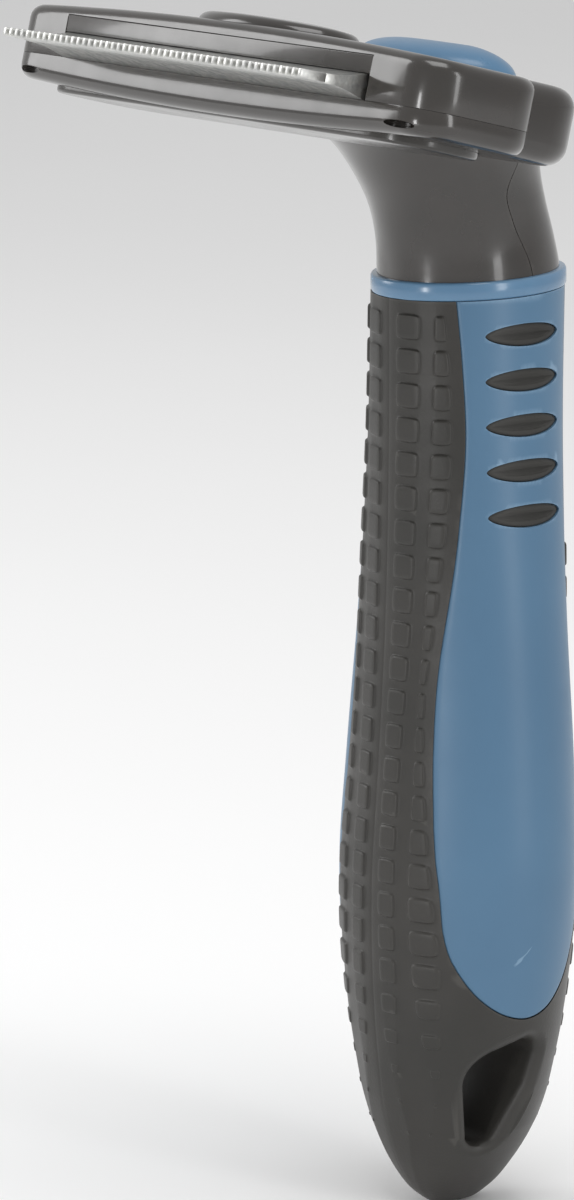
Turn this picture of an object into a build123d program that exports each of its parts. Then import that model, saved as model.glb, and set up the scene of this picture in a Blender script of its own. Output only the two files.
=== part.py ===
"""Fine-toothed carding comb with a thumb-operated hair ejector, modelled as its separate pieces."""
import os
from math import cos, radians, sin

from build123d import *

os.makedirs("parts", exist_ok=True)

# Frame, in millimetres. The origin is inside the hang hole, on the axis of the handle.
# +Z runs up the handle, X runs along the blade and the teeth point to -Y.
HOLE_HEIGHT = 17.0          # from the butt end up to the origin
SLOPE = 13.0                # how far the head leans: its toothed edge is the higher one, degrees
COLLAR_SLOPE = 2.5          # the collar's back edge is the higher one, degrees

# Handle: height above the butt, half width along X and half depth along Y of each section.
HANDLE_SECTIONS = (
    (0.0, 1.6, 3.4),
    (1.8, 3.6, 5.9),
    (4.8, 6.0, 8.2),
    (11.0, 10.2, 10.7),
    (20.0, 13.2, 12.3),
    (30.0, 15.1, 13.3),
    (42.0, 16.3, 13.7),
    (58.0, 15.6, 12.9),
    (74.0, 14.0, 12.2),
    (96.0, 12.0, 12.0),
    (120.0, 10.9, 12.4),
)
SKIN = 2.4                  # thickness of the rubber grip and of the side panels
HANDLE_TOP = 115.4
COLLAR_HEIGHT = 2.2
COLLAR_PROUD = 0.12
COLLAR_FILLET = 0.4
LINER = 1.4                 # rubber around the hang hole

# Hang hole: three circles under one tight outline, as (Y, height above the butt, radius).
HOLE_CIRCLES = ((-2.5, 11.2, 2.0), (-2.2, 18.2, 4.1), (0.4, 21.2, 2.1))

# Side panel outline on the YZ plane: front edge going down, then back edge going up.
PANEL_FRONT = (
    (-8.3, 114.7),
    (-7.7, 107.0),
    (-7.4, 99.0),
    (-8.2, 87.0),
    (-10.3, 67.5),
    (-10.9, 56.0),
    (-10.9, 44.0),
    (-9.1, 33.0),
    (-6.7, 29.4),
    (-3.5, 27.1),
)
PANEL_BOTTOM = (-0.5, 26.4)
PANEL_BACK = (
    (2.5, 27.2),
    (5.4, 29.8),
    (7.9, 34.5),
    (9.3, 43.0),
    (9.5, 62.0),
    (8.8, 84.0),
    (9.0, 98.0),
    (9.6, 114.0),
)
PANEL_INNER_X = 3.0         # the prisms that cut the panels start this far from the middle

INSERT_COUNT = 5
INSERT_TOP = 110.8
INSERT_PITCH = 5.5
INSERT_LENGTH = 11.4
INSERT_HEIGHT = 2.8
INSERT_CENTRE_Y = 0.35
INSERT_RECESS = 0.35

# Tang that joins the neck to the handle core, and its two cross screws.
TANG_WIDTH = 10.0
TANG_DEPTH = 13.0
TANG_BOTTOM = 72.0
TANG_FIT = 0.15
TANG_SCREW_HEIGHTS = (80.0, 103.5)
SCREW_RADIUS = 1.4
SCREW_HEAD_RADIUS = 2.7
SCREW_HEAD_HEIGHT = 1.8
TANG_SCREW_LENGTH = 13.0
TANG_SCREW_SEAT = 6.1       # the under-side of the screw heads, along X

# Neck: height above the butt, centre along Y, half width and half depth of each section.
NECK_SECTIONS = (
    (114.0, 0.2, 10.4, 11.9),
    (118.0, 0.0, 10.3, 11.7),
    (122.0, -0.7, 10.2, 11.3),
    (126.0, -2.0, 10.5, 11.1),
    (129.4, -3.5, 11.1, 11.5),
    (132.5, -5.0, 12.2, 12.2),
    (136.0, -7.2, 14.2, 13.4),
    (141.0, -9.6, 17.5, 15.5),
)
COVER_EDGE = ((2.2, 116.0), (1.4, 119.0), (-1.6, 124.5), (-3.0, 128.0), (-2.0, 132.0))
PLUG_HEIGHT = 128.2
PLUG_HALF = (4.4, 3.6)
PLUG_DEPTH = 2.2
PLUG_FIT = 0.08
PLUG_FACE_Y = NECK_SECTIONS[4][1] + NECK_SECTIONS[4][3]
NECK_SCREW_LENGTH = 10.0
NECK_SCREW_SEAT_Y = PLUG_FACE_Y - PLUG_DEPTH - SCREW_HEAD_HEIGHT

# Head: V is the distance back from the blade's root and W the height over the blade's middle.
ROOT_Y = -39.5
ROOT_HEIGHT = 144.4
BAR_HALF_LENGTH = 41.0
BAR_DEPTH = 17.7
BAR_CORNER = 5.0
BAR_HALF_HEIGHT = 5.5
BAR_END_HALF_HEIGHT = 4.4
PARTING = -1.5              # the two halves of the bar meet at this W
HUMP_HALF = (13.0, 8.4)
HUMP_CENTRE_V = 9.1
HUMP_TOP = 6.95
HUMP_TAPER = 0.5            # the boss's top is this share of its foot

BLADE_HALF_LENGTH = 29.3
BLADE_REACH = 9.35          # how far the teeth stand out of the bar
BLADE_TAIL = 9.0
BLADE_HALF_THICKNESS = 1.5
TIP_HALF_THICKNESS = 0.5
HOLLOW_SHARE = 0.45         # where the hollow grind passes, as a share of the reach
HOLLOW_HALF_THICKNESS = 0.62
TOOTH_COUNT = 51
TOOTH_DEPTH = 3.6
TOOTH_SHARE = 0.56          # tooth width as a share of the pitch

MOUTH_HALF_LENGTH = 29.8
MOUTH_TOP = 3.75
EJECTOR_FRONT = 0.1
EJECTOR_BACK = 5.3
EJECTOR_BOTTOM = 1.62
EJECTOR_TOP = 3.6
EJECTOR_HALF_LENGTH = 29.2

WAY_BOTTOM = 1.5            # slideway inside the head
WAY_TOP = 4.1
WAY_HALF_WIDTH = 6.4
WAY_BACK = 38.6
POCKET_HALF_WIDTH = 16.0
POCKET_FRONT = 11.5
POCKET_BACK = 27.6
SLIDE_BOTTOM = 1.9
SLIDE_TOP = 3.5
SLIDE_HALF_WIDTH = 6.0
SLIDE_BACK = 38.0
WING_HALF_WIDTH = 15.4
WING_FRONT = 24.6
WING_BACK = 27.1
TRAVEL = 8.0

SPRING_X = 12.0
SPRING_W = 2.75
SPRING_RADIUS = 0.98
SPRING_WIRE = 0.16
SPRING_TURNS = 12
SPRING_FIT = 0.05
SPRING_FRONT = POCKET_FRONT + SPRING_WIRE + SPRING_FIT
SPRING_BACK = WING_FRONT - SPRING_WIRE - SPRING_FIT
SPRING_LENGTH = SPRING_BACK - SPRING_FRONT
SPRING_PIN_RADIUS = 0.55
SPRING_PIN_FRONT = 9.2
SPRING_PIN_BACK = 15.8

BACK_BOTTOM = -4.5
BAR_UNDERSIDE = -5.8         # the neck stays under the bar and its cover plate
LOBE_BOTTOM = 0.4
BACK_TOP = 4.7
EAR_HALF_LENGTH = 36.0
EAR_BACK = 28.8
EAR_CORNER = 6.0
LOBE_HALF_WIDTH = 15.6
LOBE_BACK = 48.0

BUTTON_V = 33.4
BUTTON_HALF = (12.6, 7.4)
BUTTON_BASE = 5.0
BUTTON_RIM = 5.6
BUTTON_TOP = 8.8
DOME_STEPS = 5
DOME_SHARE = 0.97           # how far in the last section of the dome comes
STEM_HALF = (4.2, 2.4)
STEM_CLEARANCE = 0.4

COVER_HALF_LENGTH = 35.5
COVER_FRONT = 1.6
COVER_BACK = 16.2
COVER_TOP = -4.2
COVER_BOTTOM = -5.7
COVER_FIT = 0.1
COVER_CORNER = 5.9
HEAD_SCREWS = ((-33.0, 12.0), (-24.0, 13.2), (24.0, 13.2), (33.0, 12.0))
BLADE_SCREWS = ((-20.0, 5.5), (0.0, 5.5), (20.0, 5.5))
HEAD_SCREW_RADIUS = 1.1
HEAD_SCREW_HEAD = 2.2
HEAD_SCREW_SEAT = -3.0
HEAD_SCREW_TOP = 3.0
SHELL_SCREW_X = 19.2        # these two join the back shell to the bar, from inside the mouth
SHELL_SCREW_W = 1.1
SHELL_SCREW_SEAT = 11.0
SHELL_SCREW_END = 24.0
SHELL_SCREW_HEAD_HEIGHT = 1.6


def level(height):
    """Turn a height above the butt end into a Z value."""
    return height - HOLE_HEIGHT


HEAD = Plane(
    origin=(0, ROOT_Y, level(ROOT_HEIGHT)),
    x_dir=(1, 0, 0),
    z_dir=(0, sin(radians(SLOPE)), cos(radians(SLOPE))),
)
COLLAR = Plane(
    origin=(0, 0, level(HANDLE_TOP)),
    x_dir=(1, 0, 0),
    z_dir=(0, -sin(radians(COLLAR_SLOPE)), cos(radians(COLLAR_SLOPE))),
)
SIDE = Plane.YZ
BEYOND = 60.0               # longer than any piece is wide, for cuts that go right through


def head_plane(w):
    """Plane parallel to the head at height w over the blade's middle."""
    return HEAD.offset(w)


def head_front(v):
    """Plane across the head, facing forward, v behind the blade's root; its Y is the head's W."""
    return Plane(origin=HEAD.from_local_coords((0, v, 0)), x_dir=(1, 0, 0), z_dir=-HEAD.y_dir)


def handle_loft(inset, mode=Mode.ADD):
    """Loft the handle's outside, drawn in by inset."""
    sections = []
    for height, half_width, half_depth in HANDLE_SECTIONS:
        with BuildSketch(Plane.XY.offset(level(height))) as section:
            Ellipse(max(half_width - inset, 0.5), max(half_depth - inset, 0.9))
        sections.append(section.sketch)
    loft(sections, mode=mode)


def hole_prism(margin, mode=Mode.SUBTRACT):
    """Hang hole along X, its outline grown by margin."""
    with BuildSketch(SIDE) as outline:
        for y, height, radius in HOLE_CIRCLES:
            with Locations((y, level(height))):
                Circle(radius + margin)
        make_hull()
    extrude(outline.sketch, amount=BEYOND, both=True, mode=mode)


def panel_prism(side, mode):
    """Side panel outline, pushed out along X on one side."""
    with BuildSketch(SIDE.offset(side * PANEL_INNER_X)) as outline:
        with BuildLine():
            points = [(y, level(height)) for y, height in PANEL_FRONT + (PANEL_BOTTOM,) + PANEL_BACK]
            edge = Spline(points)
            top = level(HANDLE_TOP + COLLAR_HEIGHT)
            Polyline(edge @ 1, (PANEL_BACK[-1][0], top), (PANEL_FRONT[0][0], top), edge @ 0)
        make_face()
    extrude(outline.sketch, amount=side * BEYOND, mode=mode)


def insert_prisms(side, mode):
    """The row of lens-shaped prisms of one side."""
    half_length = INSERT_LENGTH / 2
    half_height = INSERT_HEIGHT / 2
    with BuildSketch(SIDE.offset(side * PANEL_INNER_X)) as lenses:
        for index in range(INSERT_COUNT):
            height = level(INSERT_TOP - index * INSERT_PITCH)
            with Locations((INSERT_CENTRE_Y, height)):
                Ellipse(half_length, half_height)
    extrude(lenses.sketch, amount=side * BEYOND, mode=mode)


def cross_screw(x_seat, length, height):
    """One pan-head screw that lies along X, its head at +X."""
    with BuildSketch(SIDE.offset(x_seat)) as head:
        with Locations((0, level(height))):
            Circle(SCREW_HEAD_RADIUS)
    extrude(head.sketch, amount=SCREW_HEAD_HEIGHT)
    with BuildSketch(SIDE.offset(x_seat)) as shank:
        with Locations((0, level(height))):
            Circle(SCREW_RADIUS)
    extrude(shank.sketch, amount=-length)


def tang_screw_bores():
    """Bores for the tang screws, with room for their heads."""
    for height in TANG_SCREW_HEIGHTS:
        with BuildSketch(SIDE.offset(TANG_SCREW_SEAT)) as head_room:
            with Locations((0, level(height))):
                Circle(SCREW_HEAD_RADIUS + TANG_FIT)
        extrude(head_room.sketch, amount=BEYOND, mode=Mode.SUBTRACT)
        with BuildSketch(SIDE.offset(TANG_SCREW_SEAT)) as bore:
            with Locations((0, level(height))):
                Circle(SCREW_RADIUS)
        extrude(bore.sketch, amount=-TANG_SCREW_LENGTH, mode=Mode.SUBTRACT)


def plan_box(half_width, v_front, v_back, w_bottom, w_top, mode=Mode.ADD, corner=0.0):
    """Box in the head's frame, centred on X."""
    with BuildSketch(head_plane(w_bottom)) as plan:
        with Locations((0, (v_front + v_back) / 2)):
            if corner:
                RectangleRounded(2 * half_width, v_back - v_front, corner)
            else:
                Rectangle(2 * half_width, v_back - v_front)
    extrude(plan.sketch, amount=w_top - w_bottom, mode=mode)


def upright_cylinders(places, radius, w_bottom, w_top, mode=Mode.ADD):
    """Cylinders along the head's W at (X, V) places."""
    with BuildSketch(head_plane(w_bottom)) as rounds:
        with Locations(*places):
            Circle(radius)
    extrude(rounds.sketch, amount=w_top - w_bottom, mode=mode)


def save(part, label):
    """Label a finished piece and write it."""
    part.label = label
    export_step(part, f"parts/{label}.step")


# ---- Handle ------------------------------------------------------------------------------

with BuildPart() as core_blank:
    handle_loft(SKIN)
    hole_prism(LINER)

with BuildPart() as handle_core:
    add(core_blank)
    split(bisect_by=COLLAR, keep=Keep.BOTTOM)
    with BuildSketch(Plane.XY.offset(level(TANG_BOTTOM))):
        Rectangle(TANG_WIDTH + 2 * TANG_FIT, TANG_DEPTH + 2 * TANG_FIT)
    extrude(amount=BEYOND, mode=Mode.SUBTRACT)
    tang_screw_bores()
save(handle_core.part, "handle_core")

with BuildPart() as grip_overmould:
    handle_loft(0)
    split(bisect_by=COLLAR, keep=Keep.BOTTOM)
    add(core_blank, mode=Mode.SUBTRACT)
    hole_prism(0)
    for side in (-1, 1):
        panel_prism(side, Mode.SUBTRACT)
save(grip_overmould.part, "grip_overmould")

for side, name in ((1, "right"), (-1, "left")):
    with BuildPart() as side_panel:
        handle_loft(0)
        split(bisect_by=COLLAR, keep=Keep.BOTTOM)
        handle_loft(SKIN, mode=Mode.SUBTRACT)
        panel_prism(side, Mode.INTERSECT)
        insert_prisms(side, Mode.SUBTRACT)
    save(side_panel.part, f"side_panel_{name}")

    with BuildPart() as panel_inserts:
        handle_loft(INSERT_RECESS)
        handle_loft(SKIN, mode=Mode.SUBTRACT)
        insert_prisms(side, Mode.INTERSECT)
    save(panel_inserts.part, f"panel_inserts_{name}")

with BuildPart() as tang_screws:
    for height in TANG_SCREW_HEIGHTS:
        cross_screw(TANG_SCREW_SEAT, TANG_SCREW_LENGTH, height)
save(tang_screws.part, "tang_screws")

with BuildPart() as collar_ring:
    with BuildSketch(COLLAR):
        Ellipse(HANDLE_SECTIONS[-1][1] + COLLAR_PROUD, HANDLE_SECTIONS[-1][2] + COLLAR_PROUD)
        Rectangle(TANG_WIDTH + 2 * TANG_FIT, TANG_DEPTH + 2 * TANG_FIT, mode=Mode.SUBTRACT)
    extrude(amount=COLLAR_HEIGHT)
    outer_edges = collar_ring.edges().filter_by(GeomType.LINE, reverse=True)
    fillet(outer_edges, radius=COLLAR_FILLET)
save(collar_ring.part, "collar_ring")

# ---- Neck --------------------------------------------------------------------------------


def neck_loft():
    """Loft the neck's outside and trim it between the collar and the head."""
    sections = []
    for height, centre_y, half_width, half_depth in NECK_SECTIONS:
        with BuildSketch(Plane.XY.offset(level(height))) as section:
            with Locations((0, centre_y)):
                Ellipse(half_width, half_depth)
        sections.append(section.sketch)
    loft(sections)
    split(bisect_by=COLLAR.offset(COLLAR_HEIGHT), keep=Keep.TOP)
    split(bisect_by=head_plane(LOBE_BOTTOM), keep=Keep.BOTTOM)
    plan_box(BEYOND, -BEYOND, EAR_BACK, BACK_BOTTOM, BEYOND, Mode.SUBTRACT)
    plan_box(BEYOND, -BEYOND, BAR_DEPTH, BAR_UNDERSIDE, BEYOND, Mode.SUBTRACT)


def cover_prism(mode):
    """Everything behind the neck cover's edge."""
    with BuildSketch(SIDE) as outline:
        with BuildLine():
            points = [(y, level(height)) for y, height in COVER_EDGE]
            edge = Spline(points)
            far = BEYOND / 2
            Polyline(edge @ 1, (far, points[-1][1]), (far, points[0][1]), edge @ 0)
        make_face()
    extrude(outline.sketch, amount=BEYOND, both=True, mode=mode)


def plug_prism(inset, mode):
    """Oval screw plug pocket, cut in from behind."""
    plug_back = Plane.XZ.offset(-BEYOND / 2)
    with BuildSketch(plug_back) as oval:
        with Locations((0, level(PLUG_HEIGHT))):
            Ellipse(PLUG_HALF[0] - inset, PLUG_HALF[1] - inset)
    extrude(oval.sketch, amount=BEYOND / 2 - PLUG_FACE_Y + PLUG_DEPTH, mode=mode)


def neck_screw_solid(clearance, mode=Mode.ADD):
    """Screw that holds the neck cover, along Y, with its head behind."""
    seat = Plane.XZ.offset(-NECK_SCREW_SEAT_Y)
    with BuildSketch(seat) as head:
        with Locations((0, level(PLUG_HEIGHT))):
            Circle(SCREW_HEAD_RADIUS + clearance)
    extrude(head.sketch, amount=-SCREW_HEAD_HEIGHT, mode=mode)
    with BuildSketch(seat) as shank:
        with Locations((0, level(PLUG_HEIGHT))):
            Circle(SCREW_RADIUS)
    extrude(shank.sketch, amount=NECK_SCREW_LENGTH, mode=mode)


with BuildPart() as neck_body:
    neck_loft()
    cover_prism(Mode.SUBTRACT)
    with BuildSketch(Plane.XY.offset(level(TANG_BOTTOM))):
        Rectangle(TANG_WIDTH, TANG_DEPTH)
    extrude(amount=NECK_SECTIONS[2][0] - TANG_BOTTOM)
    cover_prism(Mode.SUBTRACT)
    for height in TANG_SCREW_HEIGHTS:
        with BuildSketch(SIDE):
            with Locations((0, level(height))):
                Circle(SCREW_RADIUS)
        extrude(amount=BEYOND, both=True, mode=Mode.SUBTRACT)
    neck_screw_solid(0, Mode.SUBTRACT)
save(neck_body.part, "neck_body")

with BuildPart() as neck_back_cover:
    neck_loft()
    cover_prism(Mode.INTERSECT)
    plug_prism(0, Mode.SUBTRACT)
    neck_screw_solid(TANG_FIT, Mode.SUBTRACT)
save(neck_back_cover.part, "neck_back_cover")

with BuildPart() as neck_screw_plug:
    neck_loft()
    plug_prism(PLUG_FIT, Mode.INTERSECT)
save(neck_screw_plug.part, "neck_screw_plug")

with BuildPart() as neck_screw:
    neck_screw_solid(0)
save(neck_screw.part, "neck_screw")

# ---- Head --------------------------------------------------------------------------------


def bar_solid():
    """The crowned bar with rounded ends that carries the blade."""
    with BuildSketch(head_plane(-BEYOND / 2)) as plan:
        with Locations((0, BAR_DEPTH / 2)):
            RectangleRounded(2 * BAR_HALF_LENGTH, BAR_DEPTH, BAR_CORNER)
    extrude(plan.sketch, amount=BEYOND)
    with BuildSketch(head_front(0)) as front:
        with BuildLine():
            end, mid = BAR_END_HALF_HEIGHT, BAR_HALF_HEIGHT
            top = ThreePointArc((-BAR_HALF_LENGTH, end), (0, mid), (BAR_HALF_LENGTH, end))
            bottom = ThreePointArc((BAR_HALF_LENGTH, -end), (0, -mid), (-BAR_HALF_LENGTH, -end))
            Line(top @ 1, bottom @ 0)
            Line(bottom @ 1, top @ 0)
        make_face()
    extrude(front.sketch, amount=-BEYOND, mode=Mode.INTERSECT)


def slideway(mode=Mode.SUBTRACT):
    """Room for the ejector slide, its wings and the springs."""
    plan_box(WAY_HALF_WIDTH, BLADE_TAIL, WAY_BACK, WAY_BOTTOM, WAY_TOP, mode)
    plan_box(POCKET_HALF_WIDTH, POCKET_FRONT, POCKET_BACK, WAY_BOTTOM, WAY_TOP, mode)


def shell_screw_solids(mode=Mode.ADD):
    """The two screws along the head's V that join the back shell to the bar."""
    places = ((-SHELL_SCREW_X, SHELL_SCREW_W), (SHELL_SCREW_X, SHELL_SCREW_W))
    with BuildSketch(head_front(SHELL_SCREW_SEAT)) as heads:
        with Locations(*places):
            Circle(HEAD_SCREW_HEAD)
    extrude(heads.sketch, amount=SHELL_SCREW_HEAD_HEIGHT, mode=mode)
    with BuildSketch(head_front(SHELL_SCREW_SEAT)) as shanks:
        with Locations(*places):
            Circle(HEAD_SCREW_RADIUS)
    extrude(shanks.sketch, amount=SHELL_SCREW_SEAT - SHELL_SCREW_END, mode=mode)


def spring_pin_solids(mode=Mode.ADD):
    """The two fixed pins that steady the springs."""
    with BuildSketch(head_front(SPRING_PIN_FRONT)) as rounds:
        with Locations((-SPRING_X, SPRING_W), (SPRING_X, SPRING_W)):
            Circle(SPRING_PIN_RADIUS)
    extrude(rounds.sketch, amount=SPRING_PIN_FRONT - SPRING_PIN_BACK, mode=mode)


with BuildPart() as head_upper_shell:
    bar_solid()
    split(bisect_by=head_plane(PARTING), keep=Keep.TOP)
    with BuildSketch(head_plane(PARTING)):
        with Locations((0, HUMP_CENTRE_V)):
            Ellipse(*HUMP_HALF)
    with BuildSketch(head_plane(HUMP_TOP)):
        with Locations((0, HUMP_CENTRE_V)):
            Ellipse(HUMP_HALF[0] * HUMP_TAPER, HUMP_HALF[1] * HUMP_TAPER)
    loft()
    plan_box(MOUTH_HALF_LENGTH, -BEYOND, BLADE_TAIL, PARTING, MOUTH_TOP, Mode.SUBTRACT)
    slideway()
    upright_cylinders(HEAD_SCREWS, HEAD_SCREW_RADIUS, PARTING, HEAD_SCREW_TOP, Mode.SUBTRACT)
    spring_pin_solids(Mode.SUBTRACT)
    shell_screw_solids(Mode.SUBTRACT)
save(head_upper_shell.part, "head_upper_shell")

with BuildPart() as head_lower_shell:
    bar_solid()
    split(bisect_by=head_plane(PARTING), keep=Keep.BOTTOM)
    plan_box(
        COVER_HALF_LENGTH + COVER_FIT, COVER_FRONT - COVER_FIT, COVER_BACK + COVER_FIT,
        COVER_BOTTOM, COVER_TOP, Mode.SUBTRACT, corner=COVER_CORNER + COVER_FIT,
    )
    upright_cylinders(HEAD_SCREWS + BLADE_SCREWS, HEAD_SCREW_RADIUS, -BEYOND, PARTING, Mode.SUBTRACT)
    upright_cylinders(
        HEAD_SCREWS + BLADE_SCREWS, HEAD_SCREW_HEAD + TANG_FIT, -BEYOND, HEAD_SCREW_SEAT, Mode.SUBTRACT
    )
save(head_lower_shell.part, "head_lower_shell")

with BuildPart() as head_lower_cover:
    plan_box(COVER_HALF_LENGTH, COVER_FRONT, COVER_BACK, COVER_BOTTOM, COVER_TOP, corner=COVER_CORNER)
save(head_lower_cover.part, "head_lower_cover")

with BuildPart() as head_screws:
    upright_cylinders(HEAD_SCREWS, HEAD_SCREW_RADIUS, HEAD_SCREW_SEAT, HEAD_SCREW_TOP)
    upright_cylinders(HEAD_SCREWS, HEAD_SCREW_HEAD, COVER_TOP, HEAD_SCREW_SEAT)
save(head_screws.part, "head_screws")

with BuildPart() as blade_screws:
    upright_cylinders(BLADE_SCREWS, HEAD_SCREW_RADIUS, HEAD_SCREW_SEAT, BLADE_HALF_THICKNESS)
    upright_cylinders(BLADE_SCREWS, HEAD_SCREW_HEAD, COVER_TOP, HEAD_SCREW_SEAT)
save(blade_screws.part, "blade_screws")

with BuildPart() as blade:
    side_view = Plane(
        origin=HEAD.from_local_coords((-BLADE_HALF_LENGTH, 0, 0)), x_dir=HEAD.y_dir, z_dir=(1, 0, 0)
    )
    with BuildSketch(side_view):
        with BuildLine():
            half, tip = BLADE_HALF_THICKNESS, TIP_HALF_THICKNESS
            hollow = (-HOLLOW_SHARE * BLADE_REACH, HOLLOW_HALF_THICKNESS)
            upper = ThreePointArc((-BLADE_REACH, tip), hollow, (0, half))
            lower = ThreePointArc((0, -half), (hollow[0], -hollow[1]), (-BLADE_REACH, -tip))
            Polyline(upper @ 1, (BLADE_TAIL, half), (BLADE_TAIL, -half), lower @ 0)
            Line(lower @ 1, upper @ 0)
        make_face()
    extrude(amount=2 * BLADE_HALF_LENGTH)
    pitch = 2 * BLADE_HALF_LENGTH / (TOOTH_COUNT - 1 + TOOTH_SHARE)
    gaps = [
        (-BLADE_HALF_LENGTH + (index + (1 + TOOTH_SHARE) / 2) * pitch, -BLADE_REACH)
        for index in range(TOOTH_COUNT - 1)
    ]
    with BuildSketch(head_plane(-BEYOND / 2)):
        with Locations(*gaps):
            Rectangle(pitch * (1 - TOOTH_SHARE), 2 * TOOTH_DEPTH)
    extrude(amount=BEYOND, mode=Mode.SUBTRACT)
    upright_cylinders(BLADE_SCREWS, HEAD_SCREW_RADIUS, -BEYOND, BEYOND, Mode.SUBTRACT)
save(blade.part, "blade")

with BuildPart() as ejector_bar:
    plan_box(EJECTOR_HALF_LENGTH, EJECTOR_FRONT, EJECTOR_BACK, EJECTOR_BOTTOM, EJECTOR_TOP)
save(ejector_bar.part, "ejector_bar")

with BuildPart() as ejector_slide:
    plan_box(SLIDE_HALF_WIDTH, EJECTOR_BACK, SLIDE_BACK, SLIDE_BOTTOM, SLIDE_TOP)
    plan_box(WING_HALF_WIDTH, WING_FRONT, WING_BACK, SLIDE_BOTTOM, SLIDE_TOP)
save(ejector_slide.part, "ejector_slide")

with BuildPart() as shell_screws:
    shell_screw_solids()
save(shell_screws.part, "shell_screws")

with BuildPart() as spring_pins:
    spring_pin_solids()
save(spring_pins.part, "spring_pins")

with BuildPart() as ejector_springs:
    for x in (-SPRING_X, SPRING_X):
        axis_start = HEAD.from_local_coords((x, SPRING_FRONT, SPRING_W))
        coil = Helix(
            pitch=SPRING_LENGTH / SPRING_TURNS,
            height=SPRING_LENGTH,
            radius=SPRING_RADIUS,
            center=axis_start,
            direction=HEAD.y_dir,
        )
        with BuildSketch(Plane(origin=coil @ 0, z_dir=coil % 0)):
            Circle(SPRING_WIRE)
        sweep(path=coil, is_frenet=True)
save(ejector_springs.part, "ejector_springs")

with BuildPart() as head_back_shell:
    with BuildSketch(head_plane(BACK_BOTTOM)):
        with Locations((0, BAR_DEPTH)):
            RectangleRounded(2 * EAR_HALF_LENGTH, 2 * (EAR_BACK - BAR_DEPTH), EAR_CORNER)
        with Locations((0, BAR_DEPTH - BEYOND / 2)):
            Rectangle(2 * BEYOND, BEYOND, mode=Mode.SUBTRACT)
    extrude(amount=BACK_TOP - BACK_BOTTOM)
    lobe_depth = LOBE_BACK - EAR_BACK
    with BuildSketch(head_plane(LOBE_BOTTOM)):
        with Locations((0, EAR_BACK)):
            Ellipse(LOBE_HALF_WIDTH, lobe_depth)
            Rectangle(2 * BEYOND, BEYOND, align=(Align.CENTER, Align.MAX), mode=Mode.SUBTRACT)
    extrude(amount=BACK_TOP - LOBE_BOTTOM)
    slideway()
    shell_screw_solids(Mode.SUBTRACT)
    stem_front = BUTTON_V - STEM_HALF[1] - TRAVEL - STEM_CLEARANCE
    stem_back = BUTTON_V + STEM_HALF[1] + STEM_CLEARANCE
    plan_box(STEM_HALF[0] + STEM_CLEARANCE, stem_front, stem_back, WAY_BOTTOM, BEYOND, Mode.SUBTRACT)
save(head_back_shell.part, "head_back_shell")

with BuildPart() as eject_button:
    with BuildSketch(head_plane(BUTTON_BASE)):
        with Locations((0, BUTTON_V)):
            Ellipse(*BUTTON_HALF)
    extrude(amount=BUTTON_RIM - BUTTON_BASE)
    for step in range(DOME_STEPS + 1):
        rise = step / DOME_STEPS
        shrink = (1 - (DOME_SHARE * rise) ** 2) ** 0.5
        with BuildSketch(head_plane(BUTTON_RIM + (BUTTON_TOP - BUTTON_RIM) * rise)):
            with Locations((0, BUTTON_V)):
                Ellipse(BUTTON_HALF[0] * shrink, BUTTON_HALF[1] * shrink)
    loft()
    with BuildSketch(head_plane(SLIDE_TOP)):
        with Locations((0, BUTTON_V)):
            Rectangle(2 * STEM_HALF[0], 2 * STEM_HALF[1])
    extrude(amount=BUTTON_BASE - SLIDE_TOP)
save(eject_button.part, "eject_button")
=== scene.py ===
"""Carding comb with a thumb ejector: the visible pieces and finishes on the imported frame."""

import logging
from collections.abc import Callable, Sequence
from dataclasses import dataclass, field
from enum import Enum
from math import asin, cos, pi, radians, sin, sqrt, tan

import bmesh
import bpy
from mathutils import Matrix, Vector


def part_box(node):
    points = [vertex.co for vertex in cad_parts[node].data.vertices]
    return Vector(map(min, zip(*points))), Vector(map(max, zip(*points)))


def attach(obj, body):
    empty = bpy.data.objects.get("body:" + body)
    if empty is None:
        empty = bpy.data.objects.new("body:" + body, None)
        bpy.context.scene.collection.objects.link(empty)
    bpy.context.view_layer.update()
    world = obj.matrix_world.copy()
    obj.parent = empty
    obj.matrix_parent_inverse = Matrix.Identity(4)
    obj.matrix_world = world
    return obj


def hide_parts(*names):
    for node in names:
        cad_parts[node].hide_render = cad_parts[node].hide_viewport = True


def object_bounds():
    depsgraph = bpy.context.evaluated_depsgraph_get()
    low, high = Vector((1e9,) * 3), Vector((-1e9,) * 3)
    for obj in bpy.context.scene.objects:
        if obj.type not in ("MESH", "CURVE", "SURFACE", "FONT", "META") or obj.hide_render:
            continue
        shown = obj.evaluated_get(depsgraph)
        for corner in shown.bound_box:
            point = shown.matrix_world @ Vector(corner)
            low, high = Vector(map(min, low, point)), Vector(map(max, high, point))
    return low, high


LOG = logging.getLogger("carding_comb")
MM = 0.001

Ring = list[bmesh.types.BMVert]
Places = Sequence[Vector]
Station = tuple[float, ...]

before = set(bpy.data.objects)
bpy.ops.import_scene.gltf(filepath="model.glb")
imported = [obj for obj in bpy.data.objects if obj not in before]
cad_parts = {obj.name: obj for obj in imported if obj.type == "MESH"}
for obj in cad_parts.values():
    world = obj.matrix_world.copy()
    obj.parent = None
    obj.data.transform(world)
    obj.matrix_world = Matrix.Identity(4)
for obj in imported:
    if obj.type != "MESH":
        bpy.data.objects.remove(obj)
CAD_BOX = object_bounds()


# ---- Finishes ----------------------------------------------------------------------------


class Grain(Enum):
    """How the fine relief of a finish runs."""

    EVEN = (1.0, 1.0, 1.0)
    ALONG_X = (0.03, 1.0, 1.0)


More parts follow.
